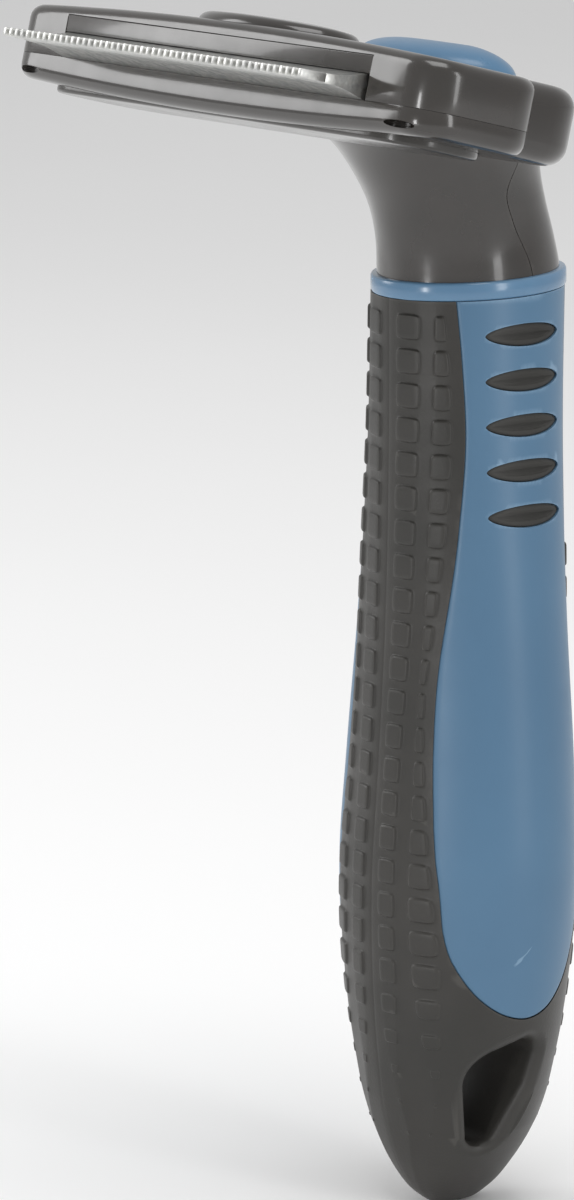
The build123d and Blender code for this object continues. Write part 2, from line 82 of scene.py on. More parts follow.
def linear(red: int, green: int, blue: int) -> tuple[float, float, float, float]:
    """Turn a screen colour into a scene-linear one.

    Args:
        red: Red from 0 to 255.
        green: Green from 0 to 255.
        blue: Blue from 0 to 255.

    Returns:
        The colour with full opacity.
    """
    parts = []
    for channel in (red, green, blue):
        share = channel / 255
        parts.append(share / 12.92 if share <= 0.04045 else ((share + 0.055) / 1.055) ** 2.4)
    return (parts[0], parts[1], parts[2], 1.0)


@dataclass(frozen=True)
class Finish:
    """One procedural material: clouded colour, uneven gloss, fine grain and worn edges."""

    slot: str
    colour: tuple[int, int, int]
    cloud_colour: tuple[int, int, int]
    worn_colour: tuple[int, int, int]
    gloss: tuple[float, float]
    metallic: float = 0.0
    specular: float = 0.5
    coat: float = 0.0
    coat_roughness: float = 0.1
    sheen: float = 0.0
    grain: Grain = Grain.EVEN
    grain_size: float = 0.3
    grain_depth: float = 0.01
    cloud_size: float = 9.0
    wear: float = 0.25

    def material(self) -> bpy.types.Material:
        """Build the node material, once.

        Returns:
            The material named after this finish's slot.
        """
        name = f"{self.slot}_finish"
        if name in bpy.data.materials:
            return bpy.data.materials[name]
        made = bpy.data.materials.new(name)
        made.use_nodes = True
        tree = made.node_tree
        tree.nodes.clear()
        output = tree.nodes.new("ShaderNodeOutputMaterial")
        shader = tree.nodes.new("ShaderNodeBsdfPrincipled")
        tree.links.new(shader.outputs["BSDF"], output.inputs["Surface"])
        shader.inputs["Metallic"].default_value = self.metallic
        shader.inputs["Specular IOR Level"].default_value = self.specular
        shader.inputs["Coat Weight"].default_value = self.coat
        shader.inputs["Coat Roughness"].default_value = self.coat_roughness
        shader.inputs["Sheen Weight"].default_value = self.sheen
        place = tree.nodes.new("ShaderNodeTexCoord")
        stretch = tree.nodes.new("ShaderNodeMapping")
        stretch.inputs["Scale"].default_value = self.grain.value
        tree.links.new(place.outputs["Object"], stretch.inputs["Vector"])
        clouds = self._noise(tree, place.outputs["Object"], self.cloud_size, 4.0)
        grains = self._noise(tree, stretch.outputs["Vector"], self.grain_size, 3.0)
        self._colour(tree, clouds, grains, shader)
        self._relief(tree, grains, shader)
        return made

    @staticmethod
    def _noise(
        tree: bpy.types.NodeTree, vector: bpy.types.NodeSocket, size: float, detail: float
    ) -> bpy.types.NodeSocket:
        """Add a noise whose blotches are about size millimetres across and return its value."""
        noise = tree.nodes.new("ShaderNodeTexNoise")
        noise.inputs["Scale"].default_value = 1.0 / (size * MM)
        noise.inputs["Detail"].default_value = detail
        tree.links.new(vector, noise.inputs["Vector"])
        return noise.outputs["Fac"]

    @staticmethod
    def _mix(
        tree: bpy.types.NodeTree,
        amount: bpy.types.NodeSocket,
        first: bpy.types.NodeSocket | tuple[float, float, float, float],
        second: tuple[float, float, float, float],
    ) -> bpy.types.NodeSocket:
        """Mix two colours by a socket's value and return the result."""
        mix = tree.nodes.new("ShaderNodeMix")
        mix.data_type = "RGBA"
        tree.links.new(amount, mix.inputs["Factor"])
        if isinstance(first, tuple):
            mix.inputs["A"].default_value = first
        else:
            tree.links.new(first, mix.inputs["A"])
        mix.inputs["B"].default_value = second
        return mix.outputs["Result"]

    @staticmethod
    def _span(
        tree: bpy.types.NodeTree,
        value: bpy.types.NodeSocket,
        source: tuple[float, float],
        target: tuple[float, float],
    ) -> bpy.types.NodeSocket:
        """Map a value from one range to another, held inside it."""
        span = tree.nodes.new("ShaderNodeMapRange")
        span.inputs["From Min"].default_value, span.inputs["From Max"].default_value = source
        span.inputs["To Min"].default_value, span.inputs["To Max"].default_value = target
        tree.links.new(value, span.inputs["Value"])
        return span.outputs["Result"]

    def _colour(
        self,
        tree: bpy.types.NodeTree,
        clouds: bpy.types.NodeSocket,
        grains: bpy.types.NodeSocket,
        shader: bpy.types.Node,
    ) -> None:
        """Colour the surface with clouds, specks and worn edges, and vary its gloss.

        Args:
            tree: The material's node tree.
            clouds: Value of the broad noise.
            grains: Value of the fine noise.
            shader: The Principled shader to feed.
        """
        cloud_share = self._span(tree, clouds, (0.35, 0.65), (0.0, 1.0))
        body = self._mix(tree, cloud_share, linear(*self.colour), linear(*self.cloud_colour))
        shape = tree.nodes.new("ShaderNodeNewGeometry")
        edge = self._span(tree, shape.outputs["Pointiness"], (0.52, 0.60), (0.0, self.wear))
        worn = self._mix(tree, edge, body, linear(*self.worn_colour))
        tree.links.new(worn, shader.inputs["Base Color"])
        gloss = self._span(tree, clouds, (0.3, 0.7), self.gloss)
        speckle = tree.nodes.new("ShaderNodeMath")
        speckle.operation = "MULTIPLY_ADD"
        speckle.inputs[1].default_value = 0.08
        tree.links.new(grains, speckle.inputs[0])
        tree.links.new(gloss, speckle.inputs[2])
        tree.links.new(speckle.outputs[0], shader.inputs["Roughness"])

    def _relief(
        self, tree: bpy.types.NodeTree, grains: bpy.types.NodeSocket, shader: bpy.types.Node
    ) -> None:
        """Raise the fine grain as a bump of grain_depth millimetres."""
        bump = tree.nodes.new("ShaderNodeBump")
        bump.inputs["Strength"].default_value = 1.0
        bump.inputs["Distance"].default_value = self.grain_depth * MM
        tree.links.new(grains, bump.inputs["Height"])
        tree.links.new(bump.outputs["Normal"], shader.inputs["Normal"])


GRIP_RUBBER = Finish(
    "grip_rubber", (50, 48, 45), (43, 42, 39), (92, 90, 86), (0.34, 0.44),
    specular=0.45, sheen=0.03, grain_size=0.35, grain_depth=0.02, cloud_size=14.0, wear=0.30,
)
INSERT_RUBBER = Finish(
    "insert_rubber", (50, 49, 46), (44, 43, 40), (80, 79, 76), (0.42, 0.52),
    specular=0.4, grain_size=0.3, grain_depth=0.02, wear=0.2,
)
PANEL_BLUE = Finish(
    "panel_blue", (79, 115, 144), (75, 110, 139), (140, 170, 195), (0.30, 0.38),
    specular=0.45, grain_size=0.18, grain_depth=0.006, cloud_size=20.0, wear=0.5,
)
COLLAR_BLUE = Finish(
    "collar_blue", (84, 124, 156), (78, 116, 148), (140, 172, 200), (0.14, 0.22),
    specular=0.5, coat=0.3, grain_size=0.6, grain_depth=0.004, wear=0.4,
)
BUTTON_BLUE = Finish(
    "button_blue", (84, 122, 154), (79, 116, 147), (140, 172, 200), (0.22, 0.32),
    specular=0.5, grain_size=0.5, grain_depth=0.005, wear=0.3,
)
SHELL_PLASTIC = Finish(
    "shell_plastic", (46, 42, 39), (40, 37, 34), (92, 89, 85), (0.12, 0.22),
    specular=0.5, coat=0.5, coat_roughness=0.08, grain_size=1.1, grain_depth=0.006,
    cloud_size=6.0, wear=0.25,
)
COVER_PLASTIC = Finish(
    "cover_plastic", (46, 43, 40), (40, 38, 35), (92, 90, 86), (0.14, 0.24),
    specular=0.5, coat=0.25, grain_size=1.0, grain_depth=0.006, cloud_size=7.0, wear=0.25,
)
EJECTOR_PLASTIC = Finish(
    "ejector_plastic", (46, 42, 39), (40, 37, 34), (92, 89, 85), (0.12, 0.22),
    coat=0.5, coat_roughness=0.08, grain_size=1.1, grain_depth=0.006,
)
CORE_PLASTIC = Finish(
    "core_plastic", (46, 45, 44), (40, 39, 38), (70, 69, 68), (0.45, 0.6),
    grain_size=0.4, grain_depth=0.01,
)
BLADE_STEEL = Finish(
    "blade_steel", (196, 196, 192), (150, 151, 150), (235, 235, 232), (0.26, 0.44),
    metallic=1.0, grain_size=0.35, grain_depth=0.02, cloud_size=1.2,
    wear=0.6,
)
SCREW_STEEL = Finish(
    "screw_steel", (176, 177, 178), (150, 151, 153), (220, 220, 220), (0.28, 0.4),
    metallic=1.0, grain_size=0.25, grain_depth=0.006, cloud_size=2.0,
)
SPRING_STEEL = Finish(
    "spring_steel", (160, 161, 163), (140, 141, 143), (205, 205, 205), (0.25, 0.36),
    metallic=1.0, grain=Grain.ALONG_X, grain_size=0.2, grain_depth=0.004, cloud_size=1.5,
)


# ---- Shaping -----------------------------------------------------------------------------


class Cut(Enum):
    """How one form acts on another."""

    REMOVE = "DIFFERENCE"
    KEEP_COMMON = "INTERSECT"
    JOIN = "UNION"


def along(stations: Sequence[Station], place: float) -> Station:
    """Read a table of stations with smooth curves between them.

    Args:
        stations: Rows that start with the place and rise in it.
        place: Where to read.

    Returns:
        The other columns at that place.
    """
    marks = [row[0] for row in stations]
    place = min(max(place, marks[0]), marks[-1])
    low = max(index for index in range(len(marks) - 1) if marks[index] <= place)
    step = marks[low + 1] - marks[low]
    share = (place - marks[low]) / step

    def lean(index: int, column: int) -> float:
        """Slope of a column at a station, from its neighbours."""
        before, after = max(index - 1, 0), min(index + 1, len(marks) - 1)
        near, far = marks[index] - marks[before], marks[after] - marks[index]
        if before == index:
            return (stations[after][column] - stations[index][column]) / far
        inner = (stations[index][column] - stations[before][column]) / near
        if after == index:
            return inner
        outer = (stations[after][column] - stations[index][column]) / far
        return (inner * far + outer * near) / (near + far)

    values = []
    for column in range(1, len(stations[0])):
        start, end = stations[low][column], stations[low + 1][column]
        first, last = lean(low, column) * step, lean(low + 1, column) * step
        values.append(
            (2 * share**3 - 3 * share**2 + 1) * start
            + (share**3 - 2 * share**2 + share) * first
            + (3 * share**2 - 2 * share**3) * end
            + (share**3 - share**2) * last
        )
    return tuple(values)


def fillet(radius: float, edge: float, sign: float, steps: int = 5) -> list[tuple[float, float]]:
    """Quarter-round profile from a wall up to a face.

    Args:
        radius: Radius of the round.
        edge: Height of the face.
        sign: 1 for a face above the wall, -1 for one below.
        steps: Number of facets.

    Returns:
        Pairs of inset and height, from the wall to the face.
    """
    turns = [step * pi / 2 / steps for step in range(steps + 1)]
    return [(radius * (1 - cos(turn)), edge - sign * radius * (1 - sin(turn))) for turn in turns]


def smooth_path(points: Sequence[tuple[float, float]], per_span: int) -> list[tuple[float, float]]:
    """Run a smooth curve through flat points.

    Args:
        points: The places that it passes.
        per_span: Points made for each span.

    Returns:
        The curve's points, first and last included.
    """
    mark, stations = 0.0, []
    for index, point in enumerate(points):
        if index:
            mark += (Vector(point) - Vector(points[index - 1])).length
        stations.append((mark, *point))
    path = []
    for low, high in zip(stations, stations[1:]):
        path += [along(stations, low[0] + (high[0] - low[0]) * step / per_span) for step in range(per_span)]
    return [*path, tuple(points[-1])]


class Form:
    """A closed shape being made, in millimetres."""

    def __init__(self) -> None:
        """Start with an empty mesh."""
        self.bm = bmesh.new()

    def ring(self, places: Places) -> Ring:
        """Lay a closed loop of edges, from a circle, through the given places."""
        made = bmesh.ops.create_circle(self.bm, cap_ends=False, segments=len(places), radius=1.0)
        for vertex, place in zip(made["verts"], places):
            vertex.co = place
        return list(made["verts"])

    def grow(self, ring: Ring, places: Places) -> Ring:
        """Extrude a closed loop and move the new one to the given places.

        Args:
            ring: The loop to extrude.
            places: One place for each of its vertices.

        Returns:
            The new loop, in the same order.
        """
        edges = [self.bm.edges.get(pair) for pair in zip(ring, ring[1:] + ring[:1])]
        made = bmesh.ops.extrude_edge_only(self.bm, edges=edges)
        fresh = {item for item in made["geom"] if isinstance(item, bmesh.types.BMVert)}
        new_ring = []
        for vertex, place in zip(ring, places):
            partner = next(
                edge.other_vert(vertex) for edge in vertex.link_edges if edge.other_vert(vertex) in fresh
            )
            partner.co = place
            new_ring.append(partner)
        return new_ring

    def cap(self, ring: Ring) -> None:
        """Close a loop with one face."""
        edges = [self.bm.edges.get(pair) for pair in zip(ring, ring[1:] + ring[:1])]
        bmesh.ops.contextual_create(self.bm, geom=edges)

    def stack(self, loops: Sequence[Places], cap_start: bool = True, cap_end: bool = True) -> "Form":
        """Loft a skin through loops of equal count and close its ends.

        Args:
            loops: The loops, first to last.
            cap_start: Whether the first loop gets a face.
            cap_end: Whether the last loop gets a face.

        Returns:
            This form.
        """
        ring = self.ring(loops[0])
        if cap_start:
            self.cap(ring)
        for places in loops[1:]:
            ring = self.grow(ring, places)
        if cap_end:
            self.cap(ring)
        return self

    def block(self, low: Station, high: Station) -> "Form":
        """Add a box between two corners."""
        centre = [(first + last) / 2 for first, last in zip(low, high)]
        size = [last - first for first, last in zip(low, high)]
        place = Matrix.Translation(centre) @ Matrix.Diagonal((*size, 1.0))
        bmesh.ops.create_cube(self.bm, size=1.0, matrix=place)
        return self

    def slab(self, outline: Sequence[tuple[float, float]], x_low: float, x_high: float) -> "Form":
        """Add a prism along X over an outline given as Y and Z."""
        return self.stack(
            [[Vector((x, y, z)) for y, z in outline] for x in (x_low, x_high)]
        )

    def tidy(self, merge: float = 1e-4) -> "Form":
        """Merge doubled vertices, drop collapsed faces and turn all faces outward."""
        bmesh.ops.remove_doubles(self.bm, verts=self.bm.verts[:], dist=merge)
        bmesh.ops.dissolve_degenerate(self.bm, edges=self.bm.edges[:], dist=merge)
        bmesh.ops.recalc_face_normals(self.bm, faces=self.bm.faces[:])
        return self

    def move(self, matrix: Matrix) -> "Form":
        """Transform every vertex."""
        bmesh.ops.transform(self.bm, matrix=matrix, verts=self.bm.verts[:])
        return self

    def bevel_edges(self, sharper_than: float, width: float, segments: int = 2) -> "Form":
        """Round the edges whose faces turn by more than an angle in degrees."""
        edges = [
            edge for edge in self.bm.edges
            if len(edge.link_faces) == 2 and edge.calc_face_angle(0.0) > radians(sharper_than)
        ]
        bmesh.ops.bevel(
            self.bm, geom=edges, offset=width, offset_type="OFFSET", segments=segments,
            profile=0.5, affect="EDGES", clamp_overlap=True, material=-1,
        )
        return self

    def scratch_object(self, name: str) -> bpy.types.Object:
        """Put a copy of the mesh in the scene for a modifier to use."""
        mesh = bpy.data.meshes.new(name)
        self.bm.to_mesh(mesh)
        made = bpy.data.objects.new(name, mesh)
        bpy.context.scene.collection.objects.link(made)
        return made

    def _settle(self, worked: bpy.types.Object, tools: Sequence[bpy.types.Object]) -> "Form":
        """Take the worked object's final mesh as this form and remove the scratch objects."""
        graph = bpy.context.evaluated_depsgraph_get()
        mesh = bpy.data.meshes.new_from_object(worked.evaluated_get(graph), depsgraph=graph)
        self.bm.free()
        self.bm = bmesh.new()
        self.bm.from_mesh(mesh)
        bpy.data.meshes.remove(mesh)
        for thing in (worked, *tools):
            used = thing.data
            bpy.data.objects.remove(thing)
            bpy.data.meshes.remove(used)
        return self

    def act(self, tools: Sequence["Form"], cut: Cut) -> "Form":
        """Cut, join or intersect this form with others.

        Args:
            tools: The forms to use, one after another.
            cut: What each of them does.

        Returns:
            This form.
        """
        worked = self.scratch_object("worked")
        objects = []
        for tool in tools:
            objects.append(tool.scratch_object("tool"))
            modifier = worked.modifiers.new("cut", "BOOLEAN")
            modifier.operation = cut.value
            modifier.solver = "MANIFOLD"
            modifier.object = objects[-1]
        return self._settle(worked, objects)

    def smoother(self, levels: int) -> "Form":
        """Subdivide with the smooth surface rule."""
        worked = self.scratch_object("worked")
        modifier = worked.modifiers.new("smooth", "SUBSURF")
        modifier.levels = modifier.render_levels = levels
        return self._settle(worked, [])

    def copy(self) -> "Form":
        """Return a separate copy of this form."""
        twin = Form()
        twin.bm.free()
        twin.bm = self.bm.copy()
        return twin


@dataclass(frozen=True)
class Piece:
    """What a finished piece is called, stands for and wears."""

    name: str
    finish: Finish
    stands_for: tuple[str, ...]
    body: str = "frame"
    crease: float = 32.0

    def make(self, form: Form, place: Matrix | None = None) -> bpy.types.Object:
        """Turn a form into the finished piece.

        Args:
            form: The shape in millimetres.
            place: Where its own frame lies in the whole object's.

        Returns:
            The piece's object.
        """
        form.move(Matrix.Scale(MM, 4) @ (place or Matrix.Identity(4)))
        mesh = bpy.data.meshes.new(self.name)
        form.bm.to_mesh(mesh)
        form.bm.free()
        mesh.shade_smooth()
        mesh.set_sharp_from_angle(angle=radians(self.crease))
        mesh.materials.append(self.finish.material())
        made = bpy.data.objects.new(self.name, mesh)
        bpy.context.scene.collection.objects.link(made)
        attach(made, self.body)
        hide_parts(*self.stands_for)
        LOG.info("%s: %d faces for %s", self.name, len(mesh.polygons), ", ".join(self.stands_for))
        return made


@dataclass(frozen=True)
class RoundedPlan:
    """Rounded rectangle in the head's plan, centred on X."""

    half_x: float
    v_front: float
    v_back: float
    corner: float
    side_steps: int = 28
    end_steps: int = 4
    corner_steps: int = 9

    def loop(self, inset: float, height: Callable[[float, float], float]) -> list[Vector]:
        """Outline drawn in by inset, at a height that may depend on X and V."""
        middle = (self.v_front + self.v_back) / 2
        half_v = max((self.v_back - self.v_front) / 2 - inset, 0.0)
        half_x = max(self.half_x - inset, 0.0)
        corner = min(max(self.corner - inset, 0.0), half_v, half_x)
        flat: list[tuple[float, float]] = []
        quarter = (
            (half_x - corner, half_v - corner, 0.0), (-(half_x - corner), half_v - corner, 90.0),
            (-(half_x - corner), -(half_v - corner), 180.0), (half_x - corner, -(half_v - corner), 270.0),
        )
        for index, (x, v, start) in enumerate(quarter):
            for step in range(self.corner_steps + 1):
                turn = radians(start + 90.0 * step / self.corner_steps)
                flat.append((x + corner * cos(turn), v + corner * sin(turn)))
            steps = self.side_steps if index % 2 == 0 else self.end_steps
            next_x, next_v, next_start = quarter[(index + 1) % 4]
            turn = radians(next_start)
            goal = (next_x + corner * cos(turn), next_v + corner * sin(turn))
            last = flat[-1]
            flat += [
                (last[0] + (goal[0] - last[0]) * step / steps, last[1] + (goal[1] - last[1]) * step / steps)
                for step in range(1, steps)
            ]
        return [Vector((x, middle + v, height(x, middle + v))) for x, v in flat]


@dataclass(frozen=True)
class OvalPlan:
    """Ellipse in the head's plan, centred on X."""

    half_x: float
    half_v: float
    centre_v: float = 0.0
    steps: int = 72

    def loop(self, inset: float, height: Callable[[float, float], float]) -> list[Vector]:
        """Outline drawn in by inset, at a height that may depend on X and V."""
        half_x, half_v = max(self.half_x - inset, 0.0), max(self.half_v - inset, 0.0)
        made = []
        for step in range(self.steps):
            turn = 2 * pi * step / self.steps
            x, v = half_x * cos(turn), self.centre_v + half_v * sin(turn)
            made.append(Vector((x, v, height(x, v))))
        return made


def at(level: float) -> Callable[[float, float], float]:
    """Height rule of a flat level."""
    return lambda x, v: level


# ---- Handle ------------------------------------------------------------------------------


@dataclass
class Handle:
    """Rubber grip, blue side panels, rubber lenses and collar ring."""

    butt: float = field(default_factory=lambda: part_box("grip_overmould")[0].z / MM)
    sections: tuple[Station, ...] = (
        (0.0, 1.6, 3.4), (1.8, 3.6, 5.9), (4.8, 6.0, 8.2), (11.0, 10.2, 10.7), (20.0, 13.2, 12.3),
        (30.0, 15.1, 13.3), (42.0, 16.3, 13.7), (58.0, 15.6, 12.9), (74.0, 14.0, 12.2),
        (96.0, 12.0, 12.0), (120.0, 10.9, 12.4),
    )
    skin: float = 2.4
    top: float = 115.4
    collar_slope: float = 2.5
    collar_height: float = 2.2
    collar_proud: float = 0.1
    collar_shift: float = 0.15
    # Height, then the X of both edges of the inner and of the outer column of pockets.
    columns: tuple[Station, ...] = (
        (0.0, 0.4, 0.55, 0.85, 1.0), (1.8, 0.9, 1.2, 1.9, 2.2), (6.8, 2.4, 2.7, 4.1, 4.4),
        (10.9, 3.4, 3.7, 5.9, 6.2), (15.1, 3.0, 3.45, 7.3, 7.75), (19.4, 2.45, 3.5, 7.5, 8.6),
        (23.4, 1.75, 3.95, 7.0, 9.15), (27.5, 1.55, 4.2, 6.6, 9.55), (32.0, 1.5, 4.4, 6.2, 9.9),
        (36.0, 1.35, 4.3, 6.0, 9.8), (45.0, 1.2, 4.2, 5.85, 8.9), (57.0, 1.15, 4.05, 5.75, 7.45),
        (66.0, 1.2, 4.3, 5.75, 6.9), (78.0, 1.3, 4.6, 5.95, 7.65), (92.0, 1.3, 4.75, 6.0, 8.35),
        (103.0, 1.35, 4.85, 6.1, 8.1), (116.0, 1.35, 4.85, 6.2, 7.1),
    )
    row_top: float = 111.7
    row_pitch: float = 4.2
    row_half: float = 1.68
    row_count: int = 25
    back_outer_top: float = 86.0
    row_shrink: tuple[float, ...] = (0.78, 0.58, 0.34, 0.2, 0.13)
    pocket_depth: float = 0.32
    pocket_wall: float = 0.15
    pocket_lip: float = 0.1
    pocket_corner: float = 0.32
    least_pocket: float = 0.3
    mould_line: float = 0.13
    side_columns: int = 14
    hole_circles: tuple[Station, ...] = ((-2.5, 11.2, 2.0), (-2.2, 18.2, 4.1), (0.4, 21.2, 2.1))
    # Growth of the hole's outline and depth under the skin, from outside the grip inward.
    hole_lip: tuple[Station, ...] = (
        (2.2, -8.0), (2.2, -0.5), (1.75, -0.03), (1.2, 0.14), (0.72, 0.42), (0.36, 0.8),
        (0.12, 1.3), (0.0, 2.0),
    )
    hole_wall: float = 1.4
    core_heights: tuple[float, ...] = (
        1.6, 4.0, 8.0, 12.0, 16.0, 20.0, 26.0, 32.0, 42.0, 52.0, 62.0, 74.0, 86.0, 98.0, 117.0,
    )
    panel_edge: tuple[Station, ...] = (
        (-8.4, 116.4), (-7.7, 107.0), (-7.4, 99.0), (-8.2, 87.0), (-10.3, 67.5), (-10.9, 56.0),
        (-10.9, 44.0), (-9.1, 33.0), (-6.7, 29.4), (-3.5, 27.1), (-0.5, 26.4), (2.5, 27.2),
        (5.4, 29.8), (7.9, 34.5), (9.3, 43.0), (9.5, 62.0), (8.8, 84.0), (9.0, 98.0), (9.7, 116.4),
    )
    panel_focus: float = 36.0
    panel_step: float = 0.8
    seam: float = 0.09
    lens_count: int = 5
    lens_top: float = 110.8
    lens_pitch: float = 5.5
    lens_half: tuple[float, float] = (5.75, 1.4)
    lens_y: float = 0.35
    # Inset and depth under the skin, from the hidden root of a lens to its crown.
    lens_profile: tuple[Station, ...] = (
        (0.02, 1.6), (0.02, 0.5), (0.08, 0.34), (0.2, 0.28), (0.45, 0.25), (0.75, 0.24),
    )

    def half(self, height: float) -> tuple[float, float]:
        """Half width along X and half depth along Y at a height over the butt."""
        width, depth = along(self.sections, height)
        return width, depth

    def side_x(self, y: float, height: float) -> float:
        """X of the handle's skin on its +X side."""
        width, depth = self.half(height)
        return width * sqrt(max(1 - (y / depth) ** 2, 0.0))

    def place(self, y: float, height: float, side: int, sink: float = 0.0) -> Vector:
        """Point on the skin, sunk along X."""
        return Vector((side * (self.side_x(y, height) - sink), y, height))

    def base(self) -> Matrix:
        """Matrix from heights over the butt to the whole object's frame."""
        return Matrix.Translation((0, 0, self.butt))

    def collar_level(self, y: float) -> float:
        """Height of the collar's lower face at a depth."""
        return self.top + y * tan(radians(self.collar_slope))

    def _angles(self, height: float) -> list[float]:
        """Angles of a ring's vertices from the front to the back, on the +X side."""
        width, _ = self.half(height)
        inner_low, inner_high, outer_low, outer_high = along(self.columns, height)
        inner, outer = inner_high - inner_low, outer_high - outer_low
        marks = [
            0.0, min(0.16, inner_low / 2), inner_low, inner_low + 0.17 * inner, inner_high - 0.17 * inner,
            inner_high, outer_low, outer_low + 0.24 * outer, outer_high - 0.24 * outer, outer_high,
        ]
        front = [asin(min(mark / width, 0.95)) for mark in marks]
        start = front[-1]
        between = [
            start + (pi - 2 * start) * step / (self.side_columns + 1)
            for step in range(1, self.side_columns + 1)
        ]
        return front + between + [pi - angle for angle in reversed(front)]

    def _ring(self, height: float, slope: bool = False) -> list[Vector]:
        """Places of one ring of the grip, with the mould line sunk."""
        half_turn = self._angles(height)
        turns = half_turn + [-angle for angle in reversed(half_turn[1:-1])]
        width, depth = self.half(height)
        made = []
        for index, turn in enumerate(turns):
            sink = self.mould_line if index in (0, len(half_turn) - 1) else 0.0
            y = -(depth - sink) * cos(turn)
            made.append(Vector(((width - sink) * sin(turn), y, self.collar_level(y) if slope else height)))
        return made

    def _row(self, index: int) -> tuple[float, float]:
        """Middle height of a row of pockets and its size as a share of a full one."""
        full_rows = self.row_count - len(self.row_shrink)
        share = 1.0 if index < full_rows else self.row_shrink[index - full_rows]
        return self.row_top - index * self.row_pitch, share

    def _sink_pockets(self, form: Form, rings: list[Ring], first_rings: dict[int, int]) -> None:
        """Sink the rows of rounded square pockets into the grip.

        Args:
            form: The grip's form.
            rings: Its rings, top to bottom.
            first_rings: Ring number of the top edge of each row.
        """
        count = len(rings[0])
        half = count // 2
        columns = (2, 6)
        starts = [start for start in columns] + [half - start - 3 for start in columns]
        starts += [(count - start - 3) % count for start in starts]
        back_outer = (half - columns[1] - 3, half + columns[1])
        for row, top in first_rings.items():
            middle, share = self._row(row)
            faces = []
            for start in starts:
                if middle > self.back_outer_top and start in back_outer:
                    continue
                for corner_ring, inner_ring in ((top, top + 1), (top + 3, top + 2)):
                    for corner, inner in ((start, start + 1), (start + 3, start + 2)):
                        outer_vertex = rings[corner_ring][corner % count]
                        inner_vertex = rings[inner_ring][inner % count]
                        outer_vertex.co = outer_vertex.co.lerp(inner_vertex.co, self.pocket_corner)
                for band in range(top, top + 3):
                    for column in range(start, start + 3):
                        near, far = column % count, (column + 1) % count
                        upper, lower = rings[band], rings[band + 1]
                        corners = (upper[near], upper[far], lower[far], lower[near])
                        faces.append(form.bm.faces.get(corners))
            size = max(share, self.least_pocket)
            lip = (self.pocket_lip * size, 0.0)
            wall = (self.pocket_wall * size, -self.pocket_depth * size)
            for thickness, depth in (lip, wall):
                bmesh.ops.inset_region(
                    form.bm, faces=faces, thickness=thickness, depth=depth,
                    use_boundary=True, use_even_offset=True,
                )

    def _outer(self) -> Form:
        """Skin of the whole grip with its pockets, as a closed body."""
        heights: list[tuple[float, bool]] = [(self.top, True), (114.3, False)]
        first_rings = {}
        for row in range(self.row_count):
            middle, share = self._row(row)
            size = self.row_half * share
            first_rings[row] = len(heights)
            heights += [(middle + size, False), (middle + 0.62 * size, False),
                        (middle - 0.62 * size, False), (middle - size, False)]
            gap = self.row_pitch - 2 * size
            if gap > 1.6:
                heights += [(middle - size - gap / 2, False)]
        heights += [(height, False) for height in (8.2, 6.8, 5.4, 4.0, 2.8, 1.8, 1.0, 0.45, 0.15)]
        form = Form()
        rings = [form.ring(self._ring(*heights[0]))]
        for height, slope in heights[1:]:
            rings.append(form.grow(rings[-1], self._ring(height, slope)))
        tip = self._ring(0.15)
        last = rings[-1]
        for share, drop in ((0.8, 0.02), (0.5, 0.1), (0.2, 0.14)):
            last = form.grow(last, [Vector((p.x * share, p.y * share, 0.15 - drop)) for p in tip])
        form.cap(last)
        self._sink_pockets(form, rings, first_rings)
        form.cap(rings[0])
        bmesh.ops.recalc_face_normals(form.bm, faces=form.bm.faces[:])
        crease = form.bm.edges.layers.float.new("crease_edge")
        rim = {vertex for vertex in rings[0] if vertex.is_valid}
        for edge in form.bm.edges:
            if all(vertex in rim for vertex in edge.verts):
                edge[crease] = 1.0
        return form.smoother(1)

    def _core(self) -> Form:
        """Space for the hard core inside the grip."""
        loops = []
        for height in self.core_heights:
            width, depth = self.half(height)
            width, depth = max(width - self.skin, 0.5), max(depth - self.skin, 0.9)
            loops.append([
                Vector((width * cos(2 * pi * step / 64), depth * sin(2 * pi * step / 64), height))
                for step in range(64)
            ])
        return Form().stack(loops).tidy().act([self._hole(self.hole_wall, flare=False)], Cut.REMOVE)

    def _hole_point(self, turn: float, margin: float) -> tuple[float, float]:
        """Point of the hang hole's outline in a direction, grown by margin."""
        y, height, radius = max(
            self.hole_circles, key=lambda c: c[0] * cos(turn) + c[1] * sin(turn) + c[2]
        )
        return y + (radius + margin) * cos(turn), height + (radius + margin) * sin(turn)

    def _hole(self, margin: float, flare: bool) -> Form:
        """Tool for the hang hole, flared at the skin into a soft lip.

        Args:
            margin: How much the outline grows.
            flare: Whether the lip is rounded.

        Returns:
            The tool's form.
        """
        turns = [2 * pi * step / 96 for step in range(96)]
        if not flare:
            outline = [self._hole_point(turn, margin) for turn in turns]
            return Form().slab(outline, -30.0, 30.0).tidy(0.01)
        profile = [(*point, 1) for point in self.hole_lip]
        profile += [(*point, -1) for point in reversed(self.hole_lip)]
        loops = []
        for grown, depth, side in profile:
            loop = []
            for turn in turns:
                y, height = self._hole_point(turn, margin + grown)
                loop.append(Vector((side * (self.side_x(y, height) - depth), y, height)))
            loops.append(loop)
        return Form().stack(loops).tidy(0.01)

    def panel_outline(self, gap: float) -> list[tuple[float, float]]:
        """Panel outline as Y and height, grown by gap, from the front top to the back top."""
        path = smooth_path(self.panel_edge, 9)
        if not gap:
            return path
        grown = []
        for index, here in enumerate(path):
            before, after = path[max(index - 1, 0)], path[min(index + 1, len(path) - 1)]
            run = (Vector(after) - Vector(before)).normalized()
            grown.append((here[0] + run.y * gap, here[1] - run.x * gap))
        return grown

